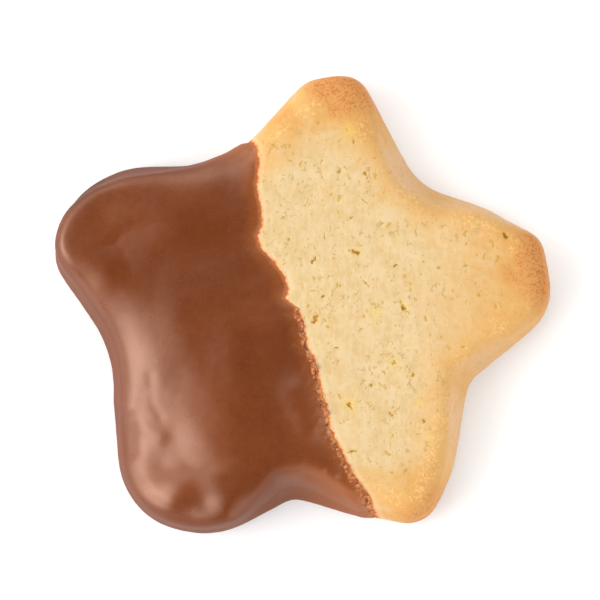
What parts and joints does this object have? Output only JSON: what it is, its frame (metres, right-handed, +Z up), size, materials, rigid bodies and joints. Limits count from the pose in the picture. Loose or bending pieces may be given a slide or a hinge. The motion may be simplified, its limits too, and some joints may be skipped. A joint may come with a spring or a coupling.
{
  "type": "chocolate-dipped cookie",
  "caption": "Thick star-shaped butter biscuit with blunt rounded arms, pale on top and browned at the arm ends, one half dipped in smooth milk chocolate.",
  "frame": {"origin": "middle of the outline, on the surface that the biscuit lies on", "axes": "+Z up out of the star face, +X from the dipped arms to the bare ones, +Y along the arm that points up in plan"},
  "size_m": [0.062, 0.0569, 0.0109],
  "materials": {
    "biscuit": "baked butter dough, matte, pale with browned arm ends",
    "chocolate": "set milk chocolate, satin"
  },
  "bodies": {
    "root": {"biscuit": "biscuit", "chocolate_coat": "chocolate"}
  },
  "joints": []
}
